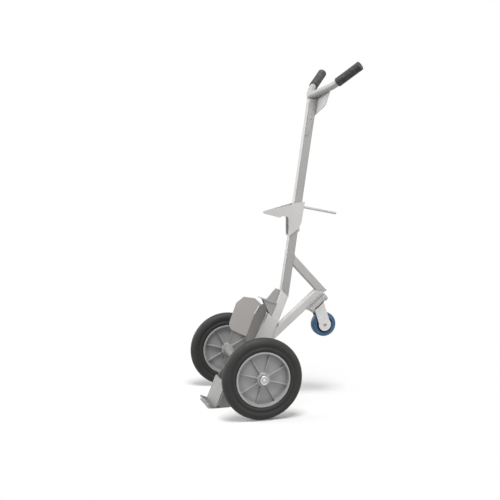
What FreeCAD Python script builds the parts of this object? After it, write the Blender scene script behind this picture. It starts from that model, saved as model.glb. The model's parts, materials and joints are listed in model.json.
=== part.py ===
import FreeCAD, Part
import math
import os
import re
import Sketcher

# Drum trolley: two main wheels, a leaning mast with a sliding hook, a cradle of two wings,
# a toe with a lip and a swivel castor behind.
# Frame: X across (+X is the user's left), Y towards the user, Z up.
# The origin is the floor point midway between the two main wheels.
# Lengths are millimetres, angles are degrees, counts are whole numbers.

SIZES = {
    # main wheels
    "wheel_diameter": 250,
    "wheel_width": 36,
    "wheel_track": 420,
    "hub_diameter": 168,
    "hub_width": 30,
    "rim_ring": 5.5,
    "rim_draft": 4.5,
    "hub_web": 6,
    "boss_diameter": 39,
    "boss_length": 32,
    "rib_lap": 1,
    "rib_count": 8,
    "rib_thickness": 3.2,
    "rib_setback": 4,
    "hub_turn": 16,
    "bead_width": 27,
    "bead_height": 9,
    "tyre_shoulder": 17.5,
    "bead_round": 3,
    # axle
    "axle_diameter": 20,
    "bush_wall": 3,
    "running_clearance": 0.05,
    "end_play": 0.4,
    "spacer_wall": 3.5,
    "washer_diameter": 25,
    "washer_thickness": 2,
    "cap_diameter": 28,
    "cap_length": 7,
    "cap_wall": 1.2,
    "axle_hole_clearance": 0.1,
    # mast and leg
    "tube_side": 26,
    "tube_wall": 2,
    "tube_corner": 3,
    "elbow_back": 148.9,
    "elbow_height": 335.4,
    "mast_lean": 8.4,
    "mast_length": 633,
    "leg_lean": 22.5,
    "leg_depth": 30,
    "leg_length": 175,
    # brace triangle
    "brace_back": 261,
    "brace_height": 351,
    "upper_strut_lean": 43,
    "lower_strut_lean": 49.5,
    # base channel
    "base_lean": 33,
    "base_front": 20,
    "base_rear": 22,
    "base_wall": 4,
    "base_bend": 5,
    "base_drop": 82,
    "base_foot": 16,
    "weld_gap": 0.3,
    # toe
    "toe_width": 120,
    "toe_thickness": 5,
    "toe_lean": 22.5,
    "toe_front": 103,
    "toe_lip": 29,
    "toe_height": 84,
    "toe_bend": 8,
    "cheek_thickness": 4,
    "cheek_heel": 64.5,
    "cheek_boss": 19,
    "cheek_round": 13,
    "foot_depth": 31,
    "foot_thickness": 5,
    # cradle
    "drum_lean": 20.4,
    "cradle_half_width": 102,
    "cradle_sweep": 36,
    "cradle_root": 8.3,
    "cradle_thickness": 4,
    "cradle_bottom": 79,
    "cradle_join": 140,
    "cradle_relief": 16,
    "cradle_chamfer_width": 20,
    "cradle_chamfer_height": 28,
    "cradle_step": 8,
    "cradle_slope": 9,
    "cradle_brow": 45,
    "cradle_notch": 14.3,
    "cradle_tuck": 11,
    "cradle_tuck_drop": 2,
    "cradle_round": 24,
    "shelf_front": 22,
    "shelf_drop": 37.2,
    "shelf_thickness": 4,
    "web_front": 10,
    "web_thickness": 4,
    "web_waist": 26,
    "rib_plate": 5,
    "rib_nose": 2,
    "rib_brow": 19,
    "rib_top": 47,
    # handlebar
    "handle_diameter": 22,
    "handle_wall": 2,
    "handle_forward": 6,
    "handle_bend": 45,
    "arm_bend": 68,
    "arm_side": 96,
    "arm_back": 41,
    "arm_rise": 27,
    "grip_side": 64.5,
    "grip_back": 61.5,
    "grip_rise": 57.3,
    "grip_diameter": 29,
    "grip_length": 89.5,
    "grip_cap": 4,
    "grip_round": 4,
    "grip_clearance": 0.1,
    "gusset_thickness": 3,
    "gusset_front": 11,
    "gusset_tail": 115,
    "gusset_tip": 6,
    "wing_drop": 49,
    "wing_turn": 12.5,
    "wing_length": 66,
    "wing_belly": 52,
    "wing_belly_drop": 20,
    "wing_brow": 8,
    "wing_lift": 1.2,
    "wing_round": 40,
    "slot_length": 17,
    "slot_width": 5,
    "slot_drop": 57,
    "slot_forward": 1,
    # sliding hook
    "slider_height": 245,
    "slider_gap": 0.4,
    "slider_wall": 3.5,
    "slider_front": 18.5,
    "slider_rear": 20.4,
    "slider_top_front": 51,
    "slider_top_rear": 64,
    "slider_heel": 5.5,
    "slider_heel_set": 2,
    "slider_waist": 24,
    "slider_waist_rear": 12.3,
    "slider_tail": 52,
    "slider_tail_front": 16,
    "beak_reach": 90,
    "beak_fold": 8.5,
    "beak_tip_set": 2,
    "beak_tip_top": 15,
    "beak_tip_low": 8.5,
    "beak_step_reach": 35,
    "beak_step_low": 2,
    "beak_throat": 8,
    "beak_throat_reach": 29,
    "rod_diameter": 8,
    "rod_length": 121,
    "rod_level": 46,
    "rod_droop": 3,
    "stop_diameter": 11,
    "stop_head": 8,
    "stop_shank": 6,
    "stop_shank_length": 9,
    "stop_gap": 0.3,
    "tongue_width": 20,
    "slider_top_inset": 4,
    "beak_foot": 40,
    "rod_round": 2,
    # castor
    "castor_diameter": 80,
    "castor_width": 27,
    "castor_hub_diameter": 54,
    "castor_crown": 5,
    "castor_along": 38,
    "castor_drop": 81.6,
    "castor_trail": 27,
    "castor_plate_length": 73,
    "castor_plate_width": 67,
    "castor_plate_round": 6,
    "castor_hole_length": 57.5,
    "castor_hole_width": 51.5,
    "castor_hole": 8.4,
    "castor_bolt": 8,
    "castor_bolt_head": 14,
    "castor_bolt_head_height": 4.4,
    "castor_bolt_end": 1,
    "castor_nut": 13,
    "castor_nut_height": 6.5,
    "pad_thickness": 8,
    "plate_thickness": 3,
    "dome_diameter": 50,
    "dome_height": 4,
    "race_diameter": 44,
    "race_width": 5,
    "race_height": 3,
    "kingpin_diameter": 12,
    "kingpin_head": 20,
    "kingpin_head_height": 4,
    "fork_wall": 3,
    "fork_gap": 30,
    "fork_crown": 56,
    "fork_shoulder_front": 20,
    "fork_shoulder_rear": 19,
    "fork_end_diameter": 42,
    "castor_axle": 8,
    "castor_axle_head": 13,
    "castor_axle_head_height": 2,
    "castor_bush_wall": 2,
    "castor_boss_diameter": 22,
    "castor_rim": 5,
    "castor_web": 12,
    "castor_rim_set": 1,
    # fits
    "seat_gap": 0.1,
    "press_gap": 0.05,
}

# Places that follow from the sizes above.
# Points named elbow, brace, castor lie in the middle plane; "front" faces lie on the toe's side.
LAYOUT = {
    "axle_height": "wheel_diameter / 2",
    "wheel_side": "wheel_track / 2",
    "half_tube": "tube_side / 2",
    "elbow_turn": "leg_lean - mast_lean",
    "leg_step": "(leg_depth * cos(elbow_turn) - tube_side) / sin(elbow_turn)",
    "mast_step": "leg_depth * sin(elbow_turn) + leg_step * cos(elbow_turn)",
    "mast_y": "elbow_back - half_tube * cos(mast_lean)",
    "mast_z": "elbow_height + half_tube * sin(mast_lean)",
    "leg_y": "elbow_back - leg_depth / 2 * cos(leg_lean)",
    "leg_z": "elbow_height + leg_depth / 2 * sin(leg_lean)",
    "mast_reach_y": "mast_y + mast_length * sin(mast_lean)",
    "mast_reach_z": "mast_z + mast_length * cos(mast_lean)",
    "slider_y": "mast_y + slider_height * sin(mast_lean)",
    "slider_z": "mast_z + slider_height * cos(mast_lean)",
    "brace_off_y": "brace_back - elbow_back",
    "brace_off_z": "brace_height - elbow_height",
    "mast_distance": "brace_off_y * cos(mast_lean) - brace_off_z * sin(mast_lean)",
    "leg_distance": "brace_off_y * cos(leg_lean) - brace_off_z * sin(leg_lean)",
    "upper_meet": "upper_strut_lean + mast_lean",
    "lower_meet": "lower_strut_lean - leg_lean",
    "upper_length": "mast_distance / sin(upper_meet)",
    "lower_length": "leg_distance / sin(lower_meet)",
    "mitre_half": "(180 - upper_strut_lean - lower_strut_lean) / 2",
    "base_half": "half_tube + weld_gap + base_wall",
    "elbow_up": "elbow_back * sin(base_lean) + (elbow_height - axle_height) * cos(base_lean)",
    "base_top": "elbow_up - base_drop",
    "base_turn": "base_lean - drum_lean",
    "crest_off": "base_top * sin(base_turn) - base_front * cos(base_turn)",
    "crest_up": "base_top * cos(base_turn) + base_front * sin(base_turn) + weld_gap / cos(base_turn)",
    "hub_half": "hub_width / 2",
    "bush_radius": "axle_diameter / 2 + running_clearance",
    "boss_half": "boss_length / 2",
    "cheek_outer": "toe_width / 2",
    "spacer_end": "wheel_side - boss_half - end_play",
    "cap_start": "wheel_side + boss_half + end_play + washer_thickness",
    "castor_tilt": "90 - lower_strut_lean",
    "castor_y": "brace_back - castor_along * cos(castor_tilt) + half_tube * sin(castor_tilt)",
    "castor_z": "brace_height - castor_along * sin(castor_tilt) - half_tube * cos(castor_tilt)",
    "leg_front_y": "elbow_back - leg_depth * cos(leg_lean)",
    "leg_front_z": "elbow_height + leg_depth * sin(leg_lean) - axle_height",
    "leg_front_off": "leg_front_y * cos(drum_lean) - leg_front_z * sin(drum_lean)",
    "leg_front_up": "leg_front_y * sin(drum_lean) + leg_front_z * cos(drum_lean)",
    "leg_slip": "tan(leg_lean - drum_lean)",
    "shelf_level": "leg_front_up - shelf_drop",
    "cradle_top": "shelf_level - cradle_step",
    "wing_root": "half_tube + cradle_thickness / 2 * sin(cradle_sweep) + weld_gap",
    "wing_run": "(cradle_half_width - wing_root) / cos(cradle_sweep)",
    "race_top": "pad_thickness + plate_thickness + dome_height",
    "crown_top": "race_top + race_height + weld_gap",
    "fork_half": "fork_gap / 2 + fork_wall",
    "castor_wheel_y": "castor_y - castor_trail * cos(castor_tilt) + castor_drop * sin(castor_tilt)",
    "castor_wheel_z": "castor_z - castor_trail * sin(castor_tilt) - castor_drop * cos(castor_tilt)",
    "arm_across": "arm_back * cos(mast_lean) - arm_rise * sin(mast_lean)",
    "arm_along": "arm_back * sin(mast_lean) + arm_rise * cos(mast_lean)",
    "arm_plan": "sqrt(arm_side ^ 2 + arm_across ^ 2)",
    "arm_climb": "sqrt(arm_back ^ 2 + arm_rise ^ 2)",
    "arm_length": "sqrt(arm_side ^ 2 + arm_climb ^ 2)",
    "corner_set": "handle_bend * (arm_length / arm_side - 1)",
    "corner_along": "handle_diameter / 2 + weld_gap - corner_set * arm_along / arm_climb",
    "arm_under": "handle_diameter / 2 * arm_length / arm_plan + weld_gap",
    "wing_side": "half_tube + weld_gap + gusset_thickness / 2",
    "wing_end_side": "wing_side + wing_length * cos(wing_turn)",
    "wing_end": "corner_along + arm_along * wing_end_side / arm_side - arm_under + wing_lift",
    "stop_level": "slider_height - slider_waist - stop_gap - stop_diameter / 2",
    "stop_y": "mast_y + stop_level * sin(mast_lean) + half_tube * cos(mast_lean)",
    "stop_z": "mast_z + stop_level * cos(mast_lean) - half_tube * sin(mast_lean)",
    "slider_inner": "half_tube + slider_gap",
    "rod_foot": "slider_inner + slider_wall + weld_gap",
    "rod_y": "slider_y + rod_level * sin(mast_lean) + rod_foot * cos(mast_lean)",
    "rod_z": "slider_z + rod_level * cos(mast_lean) - rod_foot * sin(mast_lean)",
}

doc = FreeCAD.newDocument("drum_trolley")
sizes = doc.addObject("Spreadsheet::Sheet", "sizes")
layout = doc.addObject("Spreadsheet::Sheet", "layout")
pieces = []


def linked(formula, own_sheet=False):
    """The formula with every size and place written as a cell of its sheet."""
    def cell(match):
        word = match.group(0)
        if word in SIZES:
            return "sizes." + word
        if word in LAYOUT and not own_sheet:
            return "layout." + word
        return word
    return re.sub(r"[a-z][a-z_]*", cell, formula)


def fill_sheets():
    for row, (alias, number) in enumerate(SIZES.items(), 1):
        sizes.set(f"A{row}", alias)
        sizes.set(f"B{row}", str(number))
        sizes.setAlias(f"B{row}", alias)
    doc.recompute()
    for row, (alias, formula) in enumerate(LAYOUT.items(), 1):
        layout.set(f"A{row}", alias)
        layout.setAlias(f"B{row}", alias)
    for row, (alias, formula) in enumerate(LAYOUT.items(), 1):
        layout.set(f"B{row}", "=" + linked(formula, own_sheet=True))
    doc.recompute()


def value(alias):
    sheet = sizes if alias in SIZES else layout
    return float(getattr(sheet, alias))


def bind(thing, prop, formula):
    thing.setExpression(prop, linked(str(formula)))


def new_body(label):
    body = doc.addObject("PartDesign::Body", label)
    body.Label = label
    pieces.append(body)
    return body


def origin_feature(body, role):
    return next(f for f in body.Origin.OriginFeatures if f.Role == role)


def new_sketch(body, role, lift="0"):
    """A sketch on one of the body's planes, lifted along the plane's normal."""
    sketch = body.newObject("Sketcher::SketchObject", "Profile")
    sketch.AttachmentSupport = [(origin_feature(body, role), "")]
    sketch.MapMode = "FlatFace"
    bind(sketch, "AttachmentOffset.Base.z", lift)
    return sketch


def fix_point(sketch, geometry, point, across, up):
    """Ties one point of a sketch to its two coordinates."""
    for kind, formula in (("DistanceX", across), ("DistanceY", up)):
        index = sketch.addConstraint(Sketcher.Constraint(kind, -1, 1, geometry, point, 1.0))
        bind(sketch, f"Constraints[{index}]", formula)


def outline(sketch, corners):
    """A closed outline of straight sides, each corner given as two formulas."""
    count = len(corners)
    spots = []
    for i in range(count):
        turn = 2 * math.pi * i / count
        spots.append(FreeCAD.Vector(10 * math.cos(turn), 10 * math.sin(turn), 0))
    first = sketch.GeometryCount
    for i in range(count):
        sketch.addGeometry(Part.LineSegment(spots[i], spots[(i + 1) % count]), False)
    for i in range(count):
        following = first + (i + 1) % count
        sketch.addConstraint(Sketcher.Constraint("Coincident", first + i, 2, following, 1))
        fix_point(sketch, first + i, 1, *corners[i])


def ring(sketch, across, up, radius):
    """A circle given by its centre and radius as formulas."""
    circle = Part.Circle(FreeCAD.Vector(1, 1, 0), FreeCAD.Vector(0, 0, 1), 5)
    geometry = sketch.addGeometry(circle, False)
    fix_point(sketch, geometry, 3, across, up)
    index = sketch.addConstraint(Sketcher.Constraint("Radius", geometry, 5.0))
    bind(sketch, f"Constraints[{index}]", radius)


def rectangle(sketch, left, right, low, high):
    outline(sketch, [(left, low), (right, low), (right, high), (left, high)])


def pad(body, sketch, length, side="One side", back=False):
    feature = body.newObject("PartDesign::Pad", "Pad")
    feature.Profile = sketch
    feature.SideType = side
    feature.Reversed = back
    bind(feature, "Length", length)
    return feature


def cut_through(body, sketch):
    """Cuts the sketch through the whole body, both ways."""
    feature = body.newObject("PartDesign::Pocket", "Cut")
    feature.Profile = sketch
    feature.Type = "ThroughAll"
    feature.SideType = "Symmetric"
    return feature


def spun(body, sketch, axis):
    feature = body.newObject("PartDesign::Revolution", "Turned")
    feature.Profile = sketch
    feature.ReferenceAxis = (sketch, [axis])
    feature.Angle = 360
    return feature


def edge_names(feature, wanted):
    doc.recompute()
    return [f"Edge{i}" for i, edge in enumerate(feature.Shape.Edges, 1) if wanted(edge)]


def round_edges(body, feature, radius, wanted):
    names = edge_names(feature, wanted)
    rounded = body.newObject("PartDesign::Fillet", "Round")
    rounded.Base = (feature, names)
    bind(rounded, "Radius", radius)
    return rounded


def middle(edge):
    return edge.valueAt((edge.FirstParameter + edge.LastParameter) / 2)


def close(a, b):
    return abs(a - b) < 0.01


def straight_along(edge, direction):
    if edge.Curve.TypeId != "Part::GeomLine":
        return False
    run = edge.Vertexes[-1].Point - edge.Vertexes[0].Point
    return abs(run.normalize().dot(direction)) > 0.999


X_WAY = FreeCAD.Vector(1, 0, 0)
Z_WAY = FreeCAD.Vector(0, 0, 1)


def place(body, y, z, lean, back=True):
    """Sets a body at a point of the middle plane and leans it back, or forwards, from upright."""
    axis = -X_WAY if back else X_WAY
    body.Placement = FreeCAD.Placement(FreeCAD.Vector(), FreeCAD.Rotation(axis, 1))
    bind(body, "Placement.Base.y", y)
    bind(body, "Placement.Base.z", z)
    bind(body, "Placement.Rotation.Angle", lean)


def tube(label, depth, start, length):
    """A straight rectangular tube along the body's own Z, with rounded outer corners."""
    body = new_body(label)
    section = new_sketch(body, "XY_Plane", start)
    rectangle(section, "-half_tube", "half_tube", f"-{depth} / 2", f"{depth} / 2")
    rectangle(section, "tube_wall - half_tube", "half_tube - tube_wall",
              f"tube_wall - {depth} / 2", f"{depth} / 2 - tube_wall")
    solid = pad(body, section, length)
    doc.recompute()
    half_depth = max(v.Point.y for v in solid.Shape.Vertexes)

    def outer_corner(edge):
        spot = middle(edge)
        return straight_along(edge, Z_WAY) and close(abs(spot.y), half_depth) \
            and close(abs(spot.x), value("half_tube"))
    round_edges(body, solid, "tube_corner", outer_corner)
    return body


def slant_cut(body, level, slope, away):
    """Cuts a tube's end along a slanted line through (0, level); away is 1 above and -1 below."""
    sketch = new_sketch(body, "YZ_Plane")
    reach = "3 * tube_side"
    outline(sketch, [
        (f"-{reach}", f"{level} - {reach} * ({slope})"),
        (reach, f"{level} + {reach} * ({slope})"),
        (reach, f"{level} + {away} * 5 * {reach}"),
        (f"-{reach}", f"{level} + {away} * 5 * {reach}"),
    ])
    return cut_through(body, sketch)


def side_plate(label, corners, thickness, inner, side):
    """A flat plate parallel to the middle plane, on the side given by 1 or -1."""
    body = new_body(label)
    sketch = new_sketch(body, "YZ_Plane", f"{side} * ({inner})")
    outline(sketch, corners)
    pad(body, sketch, thickness, back=side < 0)
    return body


def make_mast():
    body = tube("mast_tube", "tube_side", "-tube_side", "mast_length + tube_side")
    slant_cut(body, "mast_step / 2", "-mast_step / tube_side", -1)
    hole = new_sketch(body, "XZ_Plane")
    ring(hole, "0", "stop_level", "stop_shank / 2 + press_gap")
    feature = body.newObject("PartDesign::Pocket", "StopHole")
    feature.Profile = hole
    feature.Type = "ThroughAll"
    place(body, "mast_y", "mast_z", "mast_lean")


def make_leg():
    body = tube("leg_tube", "leg_depth", "-leg_length", "leg_length + 2 * leg_depth")
    slant_cut(body, "leg_step / 2", "-leg_step / leg_depth", 1)
    place(body, "leg_y", "leg_z", "leg_lean")


def make_struts():
    upper = tube("upper_strut", "tube_side", "-2 * tube_side", "upper_length + 5 * tube_side")
    slant_cut(upper, "0", "-1 / tan(mitre_half)", -1)
    slant_cut(upper, "upper_length", "1 / tan(upper_meet)", 1)
    place(upper, "brace_back", "brace_height", "upper_strut_lean", back=False)
    lower = tube("lower_strut", "tube_side", "-2 * tube_side", "lower_length + 5 * tube_side")
    slant_cut(lower, "0", "1 / tan(mitre_half)", -1)
    slant_cut(lower, "lower_length", "-1 / tan(lower_meet)", 1)
    place(lower, "brace_back", "brace_height", "180 - lower_strut_lean", back=False)


def make_base_channel():
    """A channel open behind; its web faces the front and the axle passes through its sides."""
    body = new_body("base_channel")
    foot = "axle_height / cos(base_lean)"
    section = new_sketch(body, "XY_Plane", f"-2 * {foot}")
    inner = "base_half - base_wall"
    outline(section, [
        ("-base_half", "base_rear"), ("-base_half", "-base_front"),
        ("base_half", "-base_front"), ("base_half", "base_rear"),
        (inner, "base_rear"), (inner, "base_wall - base_front"),
        (f"-({inner})", "base_wall - base_front"), (f"-({inner})", "base_rear"),
    ])
    solid = pad(body, section, f"2 * {foot} + base_top")

    def bend(edge):
        spot = middle(edge)
        return straight_along(edge, Z_WAY) and close(abs(spot.x), value("base_half")) \
            and close(spot.y, -value("base_front"))
    round_edges(body, solid, "base_bend", bend)
    slant_cut(body, "(base_foot - axle_height) / cos(base_lean)", "tan(base_lean)", -1)
    bore = new_sketch(body, "YZ_Plane")
    ring(bore, "0", "0", "axle_diameter / 2 + axle_hole_clearance")
    cut_through(body, bore)
    place(body, "0", "axle_height", "base_lean")


def make_toe():
    """One bent plate: a leaning back and a lip square to it; its heel stands on the floor."""
    body = new_body("toe_plate")
    profile = new_sketch(body, "YZ_Plane")
    outline(profile, [
        ("0", "0"), ("0", "toe_height"), ("-toe_thickness", "toe_height"),
        ("-toe_thickness", "toe_thickness"), ("-toe_lip", "toe_thickness"), ("-toe_lip", "0"),
    ])
    solid = pad(body, profile, "toe_width", side="Symmetric")

    def heel(edge):
        spot = middle(edge)
        return straight_along(edge, X_WAY) and close(spot.y, 0) and close(spot.z, 0)
    round_edges(body, solid, "toe_bend", heel)
    heel_sink = "toe_bend * (sin(toe_lean) + cos(toe_lean) - 1)"
    place(body, "-toe_front", f"-({heel_sink})", "toe_lean")


def make_toe_cheeks():
    """Side plates behind the toe plate that carry it from the axle."""
    inner = "cheek_outer - cheek_thickness"
    back_y = "(-toe_front + weld_gap)"
    lift = "toe_bend"
    top = "toe_height * cos(toe_lean) - toe_bend"
    for name, side in (("left_toe_cheek", 1), ("right_toe_cheek", -1)):
        corners = [
            (f"{back_y} + {lift} * tan(toe_lean) + toe_bend", "0"),
            ("-cheek_heel", "0"),
            ("cheek_boss", "(cheek_heel + cheek_boss) / tan(base_lean)"),
            ("cheek_boss", "axle_height + cheek_boss"),
            ("-cheek_boss", "axle_height + cheek_boss"),
            (f"{back_y} + ({top}) * tan(toe_lean) + toe_thickness / 4", top),
            (f"{back_y} + {lift} * tan(toe_lean) + toe_thickness / 4", lift),
        ]
        body = side_plate(name, corners, "cheek_thickness", inner, side)

        def boss_corner(edge):
            spot = middle(edge)
            return straight_along(edge, X_WAY) and close(abs(spot.y), value("cheek_boss")) \
                and close(spot.z, value("axle_height") + value("cheek_boss"))
        round_edges(body, body.Tip, "cheek_round", boss_corner)
        bore = new_sketch(body, "YZ_Plane")
        ring(bore, "0", "axle_height", "axle_diameter / 2 + axle_hole_clearance")
        cut_through(body, bore)
    foot = new_body("toe_foot")
    sole = new_sketch(foot, "XY_Plane")
    half = f"({inner} - weld_gap)"
    rectangle(sole, f"-{half}", half, "-cheek_heel - foot_depth", "-cheek_heel")
    pad(foot, sole, "foot_thickness")


def leg_face(level):
    """Where the leg's front face stands, in the cradle's leaning frame, with the weld gap off."""
    return f"leg_front_off + ({level} - leg_front_up) * leg_slip - weld_gap"


def on_base(reach):
    """The level just above the base channel's top edge, at a reach in the cradle's leaning frame."""
    return f"crest_up - ({reach} - crest_off) * tan(base_turn)"


def make_cradle():
    """Two flat wings swept forward into a V, welded by their roots to the base channel's front."""
    for name, side in (("left_cradle_wing", 1), ("right_cradle_wing", -1)):
        body = new_body(name)
        sketch = new_sketch(body, "XZ_Plane")
        turn = FreeCAD.Rotation(FreeCAD.Vector(0, -1, 0), 1)
        sketch.AttachmentOffset = FreeCAD.Placement(FreeCAD.Vector(), turn)
        bind(sketch, "AttachmentOffset.Base.x", f"{side} * wing_root")
        bind(sketch, "AttachmentOffset.Base.z", "-cradle_root")
        sweep = "cradle_sweep" if side > 0 else "180 - cradle_sweep"
        bind(sketch, "AttachmentOffset.Rotation.Angle", sweep)
        outline(sketch, [
            ("cradle_relief", "cradle_bottom"), ("wing_run", "cradle_bottom"),
            ("wing_run", "cradle_top - cradle_slope - cradle_chamfer_height"),
            ("wing_run - cradle_chamfer_width", "cradle_top - cradle_slope"),
            ("cradle_brow", "cradle_top"), ("0", "cradle_top - cradle_notch"),
            ("-cradle_tuck", "crest_up - cradle_tuck_drop"), ("0", "cradle_join"),
        ])
        wing = pad(body, sketch, "cradle_thickness", side="Symmetric")

        def low_corner(edge):
            spot = middle(edge)
            return edge.Length < value("cradle_thickness") + 0.1 \
                and close(spot.z, value("cradle_bottom")) \
                and abs(spot.x) > value("cradle_half_width") - 1
        round_edges(body, wing, "cradle_round", low_corner)
        place(body, "0", "axle_height", "drum_lean")


def make_cradle_stays():
    """Webs on the leg's front, a shelf across their tops and a rib on the shelf."""
    under = "shelf_level - weld_gap"
    for name, side in (("left_cradle_web", 1), ("right_cradle_web", -1)):
        corners = [
            ("-web_front", under), (leg_face(under), under),
            (leg_face(on_base("web_waist")), on_base("web_waist")), ("web_waist", on_base("web_waist")),
        ]
        web = side_plate(name, corners, "web_thickness", "half_tube - web_thickness", side)
        place(web, "0", "axle_height", "drum_lean")
    shelf = new_body("cradle_shelf")
    sketch = new_sketch(shelf, "XY_Plane", "shelf_level")
    rectangle(sketch, "-base_half", "base_half", "-shelf_front", leg_face("shelf_level"))
    pad(shelf, sketch, "shelf_thickness")
    place(shelf, "0", "axle_height", "drum_lean")
    rib = new_body("cradle_rib")
    profile = new_sketch(rib, "YZ_Plane")
    foot = "shelf_level + shelf_thickness + weld_gap"
    brow = "shelf_level + rib_top"
    outline(profile, [
        ("rib_nose", foot), ("rib_brow", brow), (leg_face(brow), brow), (leg_face(foot), foot),
    ])
    pad(rib, profile, "rib_plate", side="Symmetric")
    place(rib, "0", "axle_height", "drum_lean")


def bent_path(points, radii):
    """A wire through the points, with an arc of the given radius at each inner point."""
    edges = []
    last = points[0]
    for before, corner, after, radius in zip(points, points[1:], points[2:], radii):
        to_before = (before - corner).normalize()
        to_after = (after - corner).normalize()
        half = to_before.getAngle(to_after) / 2
        set_off = radius / math.tan(half)
        inward = (to_before + to_after).normalize()
        start = corner + to_before * set_off
        end = corner + to_after * set_off
        top = corner + inward * (radius / math.sin(half) - radius)
        edges.append(Part.makeLine(last, start))
        edges.append(Part.Arc(start, top, end).toShape())
        last = end
    edges.append(Part.makeLine(last, points[-1]))
    return Part.Wire(edges)


def swept(path, start, way, radius):
    circle = Part.Wire(Part.makeCircle(radius, start, way))
    return path.makePipeShell([circle], True, False)


def make_handlebar():
    """The bent tube on the mast's top and its two grips, which follow the tube's ends."""
    lean = math.radians(value("mast_lean"))
    up = FreeCAD.Vector(0, math.sin(lean), math.cos(lean))
    back = FreeCAD.Vector(0, math.cos(lean), -math.sin(lean))
    seat = FreeCAD.Vector(0, value("mast_reach_y"), value("mast_reach_z"))
    seat = seat - back * value("handle_forward")
    climb = FreeCAD.Vector(0, value("arm_back"), value("arm_rise")).normalize()
    radius = value("handle_diameter") / 2
    apex = seat + up * (radius + value("weld_gap")) - climb * value("corner_set")
    arms = []
    for side in (1, -1):
        arm = FreeCAD.Vector(side * value("arm_side"), value("arm_back"), value("arm_rise"))
        run = FreeCAD.Vector(side * value("grip_side"), value("grip_back"), value("grip_rise"))
        bend = apex + arm
        arms.append((bend + run, bend, run.normalize()))
    (left_end, left_bend, left_way), (right_end, right_bend, right_way) = arms
    arm_bend = value("arm_bend")
    path = bent_path([left_end, left_bend, apex, right_bend, right_end],
                     [arm_bend, value("handle_bend"), arm_bend])
    outer = swept(path, left_end, left_way, radius)
    inner = swept(path, left_end, left_way, radius - value("handle_wall"))
    bar = doc.addObject("Part::Feature", "handlebar")
    bar.Label = "handlebar"
    bar.Shape = outer.cut(inner)
    pieces.append(bar)
    for name, (end, bend, way) in zip(("left_grip", "right_grip"), arms):
        grip = new_body(name)
        profile = new_sketch(grip, "XZ_Plane")
        bore = "handle_diameter / 2 + grip_clearance"
        floor = "grip_length - grip_cap"
        outline(profile, [
            (bore, "0"), ("grip_diameter / 2", "0"), ("grip_diameter / 2", "grip_length"),
            ("0", "grip_length"), ("0", floor), (bore, floor),
        ])
        turned = spun(grip, profile, "V_Axis")

        def end_rim(edge):
            spot = middle(edge)
            return close(spot.z, value("grip_length")) and edge.Closed
        round_edges(grip, turned, "grip_round", end_rim)
        cover = value("grip_length") - value("grip_cap") - value("weld_gap")
        turn = FreeCAD.Rotation(Z_WAY, way)
        grip.Placement = FreeCAD.Placement(end - way * cover, turn)


def make_gussets():
    """Folded plates: a tail on the mast's side and a wing under the handlebar's arm."""
    for name, side in (("left_gusset", 1), ("right_gusset", -1)):
        rear = "half_tube"
        corners = [
            ("-gusset_front", "-weld_gap"), (rear, "-weld_gap"), (rear, "-wing_drop"),
            ("gusset_tip - gusset_front", "-gusset_tail"), ("-gusset_front", "-gusset_tail"),
        ]
        body = side_plate(name, corners, "gusset_thickness", "half_tube + weld_gap", side)
        wing = body.newObject("Sketcher::SketchObject", "Wing")
        wing.AttachmentSupport = [(origin_feature(body, "XZ_Plane"), "")]
        wing.MapMode = "FlatFace"
        turn = FreeCAD.Rotation(FreeCAD.Vector(0, 1, 0), 1)
        wing.AttachmentOffset = FreeCAD.Placement(FreeCAD.Vector(), turn)
        bind(wing, "AttachmentOffset.Base.x", f"{side} * wing_side")
        bind(wing, "AttachmentOffset.Base.z", "gusset_thickness / 2 - half_tube")
        turn = "wing_turn" if side > 0 else "180 - wing_turn"
        bind(wing, "AttachmentOffset.Rotation.Angle", turn)
        outline(wing, [
            ("0", "-wing_drop"), ("wing_belly", "-wing_belly_drop"),
            ("wing_length", "wing_end"), ("0", "wing_brow"),
        ])
        folded = pad(body, wing, "gusset_thickness", side="Symmetric")

        def belly(edge):
            spot = middle(edge)
            return edge.Length < value("gusset_thickness") + 0.1 \
                and close(spot.z, -value("wing_belly_drop"))
        round_edges(body, folded, "wing_round", belly)
        slot = new_sketch(body, "YZ_Plane")
        rectangle(slot, "-slot_width / 2 - slot_forward", "slot_width / 2 - slot_forward",
                  "-slot_drop - slot_length / 2", "-slot_drop + slot_length / 2")
        cut_through(body, slot)
        place(body, "mast_reach_y", "mast_reach_z", "mast_lean")


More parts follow.
